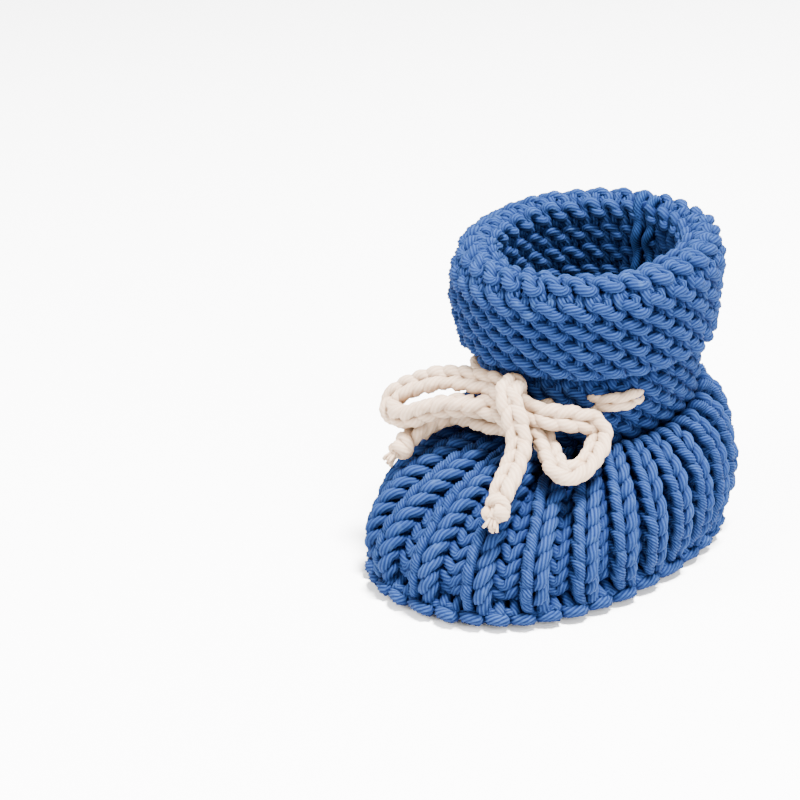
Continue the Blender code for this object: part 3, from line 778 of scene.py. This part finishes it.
def sewing(name, line, facing, finish):
    """Two sewing yarns that cross from edge to edge along a seam."""
    line, facing = respace(np.asarray(line, float), 0.4, facing)
    along = unit(np.gradient(line, axis=0))
    front = unit(facing)
    side = np.cross(along, front)
    skein = Skein()
    for start in (0.0, math.pi):
        turn = math.pi * run_along(line) / SEWING_PITCH + start
        path = (line + SEWING_SWAY * np.sin(turn)[:, None] * side
                + SEWING_ARCH * np.cos(2 * turn)[:, None] * front)
        skein.strand(path, front, SEWING_YARN)
    return skein.make(name, finish)


def sole_seam(finish):
    y = np.linspace(SOLE_SEAM_FROM, SOLE_SEAM_TO, SEAM_SAMPLES)
    line = np.stack([np.zeros(SEAM_SAMPLES), y, np.full(SEAM_SAMPLES, SOLE_SEAM_HEIGHT)], 1)
    return sewing("sole_seam_yarn", line, np.broadcast_to([0, 0, 1.0], line.shape), finish)


def heel_seam(finish):
    t = np.linspace(HEEL_SEAM_FROM, HEEL_SEAM_TO, SEAM_SAMPLES)
    depth = np.full(SEAM_SAMPLES, HEEL_SEAM_DEPTH)
    line, facing = foot_surface(np.full(SEAM_SAMPLES, math.pi), t, depth)
    return sewing("heel_seam_yarn", line, -facing, finish)


def leg_seam(finish):
    """The edge stitches beside the seam up the leg: a straight rope, and one with long loops."""
    skein = Skein()
    s = np.linspace(CUFF_LENGTH + RIM_LENGTH * LEG_SEAM_FROM, FOLD_LENGTH - 0.5, 60)
    wave = 2 * math.pi * (s - s[0]) / LEG_SEAM_PITCH
    for aside, sway, depth in LEG_SEAM_ROPES:
        angle = math.pi + aside + sway * np.sin(wave)
        point, normal = fold_surface(angle, s, depth + LEG_SEAM_WAVE * np.cos(wave))
        skein.strand(point, normal, LEG_SEAM_YARN, twist=LEG_SEAM_TWIST)
    return skein.make("leg_seam_yarn", finish)


# ---------------------------------------------------------------- cream cord

def cream_skein():
    return Skein(groove=CREAM_GROOVE, uneven=CREAM_UNEVEN)


def chain(skein, route, facing, size=1.0, turns=0.0):
    """A crocheted chain along a route: each loop is drawn through the one before."""
    route = respace(smooth(route, 10), 0.3)[0]
    facing = np.broadcast_to(np.asarray(facing, float), route.shape)
    along = unit(np.gradient(route, axis=0))
    front = unit(facing - np.sum(facing * along, 1, keepdims=True) * along)
    side = np.cross(along, front)
    run = run_along(route)
    length = run[-1]
    stitches = max(2, int(round(length / CHAIN_PITCH)))
    step = length / stitches
    spots = []
    for i in range(stitches):
        for sideways, forth, out in CHAIN_LOOP:
            wander = rng.normal(0, CHAIN_WOBBLE, 3)
            spots.append(((i + forth - CHAIN_BACK) * step, size * (sideways + wander[0]),
                          size * (out + wander[1])))
    spots = smooth(spots, 6)
    at = np.clip(spots[:, 0], 0, length)
    past = spots[:, 0] - at
    middle, along, front, side = (np.stack([np.interp(at, run, v[:, i]) for i in range(3)], 1)
                                  for v in (route, along, front, side))
    spin = (2 * math.pi * turns * at / length)[:, None]
    out = np.cos(spin) * front + np.sin(spin) * side
    beside = -np.sin(spin) * front + np.cos(spin) * side
    path = middle + past[:, None] * along + spots[:, 1:2] * beside + spots[:, 2:3] * out
    skein.strand(path, out, CHAIN_YARN * size, step=CHAIN_STEP)


def tie_route(angle):
    """The tie's line round the ankle, in and out of the band."""
    first = math.pi / TIE_WAVES
    turn = np.abs(angle)
    hide = TIE_HIDE * np.exp(-((turn - TIE_HIDE_ANGLE) / TIE_CHANGE) ** 2)
    lift = TIE_LIFT * np.exp(-((angle - TIE_LIFT_ANGLE) / TIE_CHANGE) ** 2)
    near = np.maximum(0.0, turn - TIE_BOW_ANGLE) * first / (first - TIE_BOW_ANGLE)
    turn = np.where(turn < first, near, turn)
    radius = TIE_MIDDLE + TIE_SWING * np.cos(TIE_WAVES * turn) - TIE_SINK - hide
    y = -radius * np.cos(angle)
    return np.stack([radius * np.sin(angle), LEG_Y + y, TIE_HEIGHT + lift + TIE_SLOPE * y], -1)


def tie(finish):
    angles = np.linspace(TIE_START, 2 * math.pi - TIE_END, 90)
    route = tie_route(np.where(angles <= math.pi, angles, angles - 2 * math.pi))
    route = respace(route, 2.0)[0]
    skein = cream_skein()
    dense = respace(smooth(route, 10), 0.3)[0]
    facing = unit((dense - np.array([0, LEG_Y, TIE_HEIGHT])) * np.array([1, 1, 0.2]))
    chain(skein, route, facing, size=TIE_SIZE)
    return skein.make("tie_chain", finish)


def past_end(points, distance):
    last, before = np.array(points[-1], float), np.array(points[-2], float)
    return last + distance * unit(last - before)


def end_axes(points):
    """The stopper's middle past a tail's last point, and the directions along and across the cord."""
    centre = past_end(points, STOPPER_AWAY)
    along = unit(centre - np.array(points[-1], float))
    side = unit(np.cross(along, [0.3, 0.2, 1.0]))
    return centre, along, side, np.cross(along, side)


def stopper(name, points, finish):
    """The overhand knot near the cord's end."""
    centre, along, side, up = end_axes(points)
    turn = np.linspace(0, 2 * math.pi * STOPPER_TURNS, 60)
    wave = STOPPER_REACH * np.cos(turn / STOPPER_TURNS) - 0.2
    radial = np.cos(turn)[:, None] * side + np.sin(turn)[:, None] * up
    coil = centre + STOPPER_COIL * radial + wave[:, None] * along
    skein = cream_skein()
    skein.strand(coil, radial, STOPPER_YARN, step=END_STEP)
    return skein.make(name, finish)


def cord_end(skein, points):
    """The yarn that runs on through the stopper and frays into strands."""
    centre, along, side, up = end_axes(points)
    core = centre + np.linspace(-STOPPER_AWAY - CORE_FROM, TUFT_LENGTH, 14)[:, None] * along
    skein.strand(core, np.broadcast_to(side, core.shape), np.linspace(*CORE_YARN, 14), step=END_STEP)
    share = np.linspace(0, 1, 12)[:, None]
    sag = np.array([0, 0, -TUFT_SAG]) * share**2
    for _ in range(TUFT_STRANDS):
        angle, spread = rng.uniform(0, 2 * math.pi), rng.uniform(0.2, 1.0)
        radial = math.cos(angle) * side + math.sin(angle) * up
        root = centre + TUFT_ROOT * along + TUFT_ROOT_RADIUS * spread * radial
        flare = (TUFT_SPREAD * spread * share**1.5) * radial
        strand = root + share * TUFT_LENGTH * along + flare + sag
        skein.strand(strand, np.broadcast_to(up, strand.shape), TUFT_YARN, step=0.4)


def bow(finish):
    """The bow's loops, tails, knot and stoppers, by name."""
    facing = unit(np.array(BOW_FACING))
    routes = {"loop_right": LOOP_RIGHT, "loop_left": LOOP_LEFT, "tail_right": TAIL_RIGHT,
              "tail_left": TAIL_LEFT}
    pieces = {}
    for name, route in routes.items():
        skein = cream_skein()
        chain(skein, route, facing, turns=BOW_TWISTS[name])
        if name.startswith("tail"):
            cord_end(skein, route)
        pieces[name] = skein.make(f"chain_{name}", finish)
    skein = cream_skein()
    for route in (KNOT_ACROSS_TOP, KNOT_ACROSS_LOW, KNOT_WRAP):
        chain(skein, route, facing, size=KNOT_SIZE)
    pieces["knot"] = skein.make("chain_knot", finish)
    for side, points in (("right", TAIL_RIGHT), ("left", TAIL_LEFT)):
        pieces[f"stopper_{side}"] = stopper(f"stopper_yarn_{side}", points, finish)
    return pieces


# ---------------------------------------------------------------- the bootie

def rows_between(low, high):
    """Heights of garter rows, spaced evenly and close to the yarn's own row height."""
    count = int(round((high - low) / GARTER_ROW)) + 1
    return np.linspace(low, high, count)


def place(piece, body, slot, *nodes):
    """Says which body a piece rides on and the CAD nodes it stands in for. The slot is not used."""
    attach(piece, body)
    if nodes:
        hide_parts(*nodes)


def build_leg(blue):
    """Cuff, rim and leg: their rows follow each other along the one fold."""
    rows = rows_between(CUFF_ROWS[0], CUFF_LENGTH - CUFF_ROWS[1])
    cuff = garter_zone("cuff_knit", blue, fold_surface, rows, step=CUFF_STEP)
    place(cuff, "cuff", "blue_yarn", "cuff")
    rim_end = CUFF_LENGTH + RIM_LENGTH
    rim_rows = rows_between(CUFF_LENGTH + RIM_ROWS[0], rim_end - RIM_ROWS[1])
    rim = garter_zone("rim_knit", blue, fold_surface, rim_rows, first=len(rows))
    place(rim, "cuff", "blue_yarn", "cuff_rim")
    leg_rows = rows_between(rim_end + LEG_ROWS[0], FOLD_LENGTH - LEG_ROWS[1])
    leg = garter_zone("leg_knit", blue, fold_surface, leg_rows, depth=LEG_GARTER_DEPTH,
                      first=len(rows) + len(rim_rows))
    place(leg, "foot", "blue_yarn", "leg_tube")


def build_foot(blue):
    band = garter_zone("band_knit", blue, band_surface, rows_between(*BAND_ROWS))
    place(band, "foot", "blue_yarn", "ankle_band")
    zones = ("ribs_toe_right", "ribs_heel_right", "ribs_heel_left", "ribs_toe_left")
    quarter = RIB_COUNT // len(zones)
    for i, name in enumerate(zones):
        ribs = rib_zone(name, blue, range(i * quarter, (i + 1) * quarter))
        replaced = ["ribbed_foot"] if i == 0 else []
        place(ribs, "foot", "blue_yarn", *replaced)
    place(lining(blue), "foot", "blue_yarn")
    place(sole(blue), "foot", "blue_yarn", "sole")
    place(sole_edge(blue), "foot", "blue_yarn")


def build_seams(seam_blue):
    place(leg_seam(seam_blue), "foot", "seam_yarn", "leg_seam")
    place(sole_seam(seam_blue), "foot", "seam_yarn", "sole_seam")
    place(heel_seam(seam_blue), "foot", "seam_yarn", "heel_seam")


def build_cords(cream):
    pieces = bow(cream)
    place(pieces["knot"], "foot", "cream_cord", "bow_knot")
    place(tie(cream), "foot", "cream_cord", "ankle_tie")
    for side in ("right", "left"):
        place(pieces[f"loop_{side}"], f"loop_{side}", "cream_cord", f"bow_loop_{side}")
        place(pieces[f"tail_{side}"], f"tail_{side}", "cream_cord", f"bow_tail_{side}")
        place(pieces[f"stopper_{side}"], f"tail_{side}", "cream_cord", f"stopper_knot_{side}")


def main():
    add_camera()
    add_studio()
    blue, seam_blue, cream = (yarn_material(name, **look) for name, look in YARN_LOOKS.items())
    build_cords(cream)
    build_leg(blue)
    build_foot(blue)
    build_seams(seam_blue)


main()
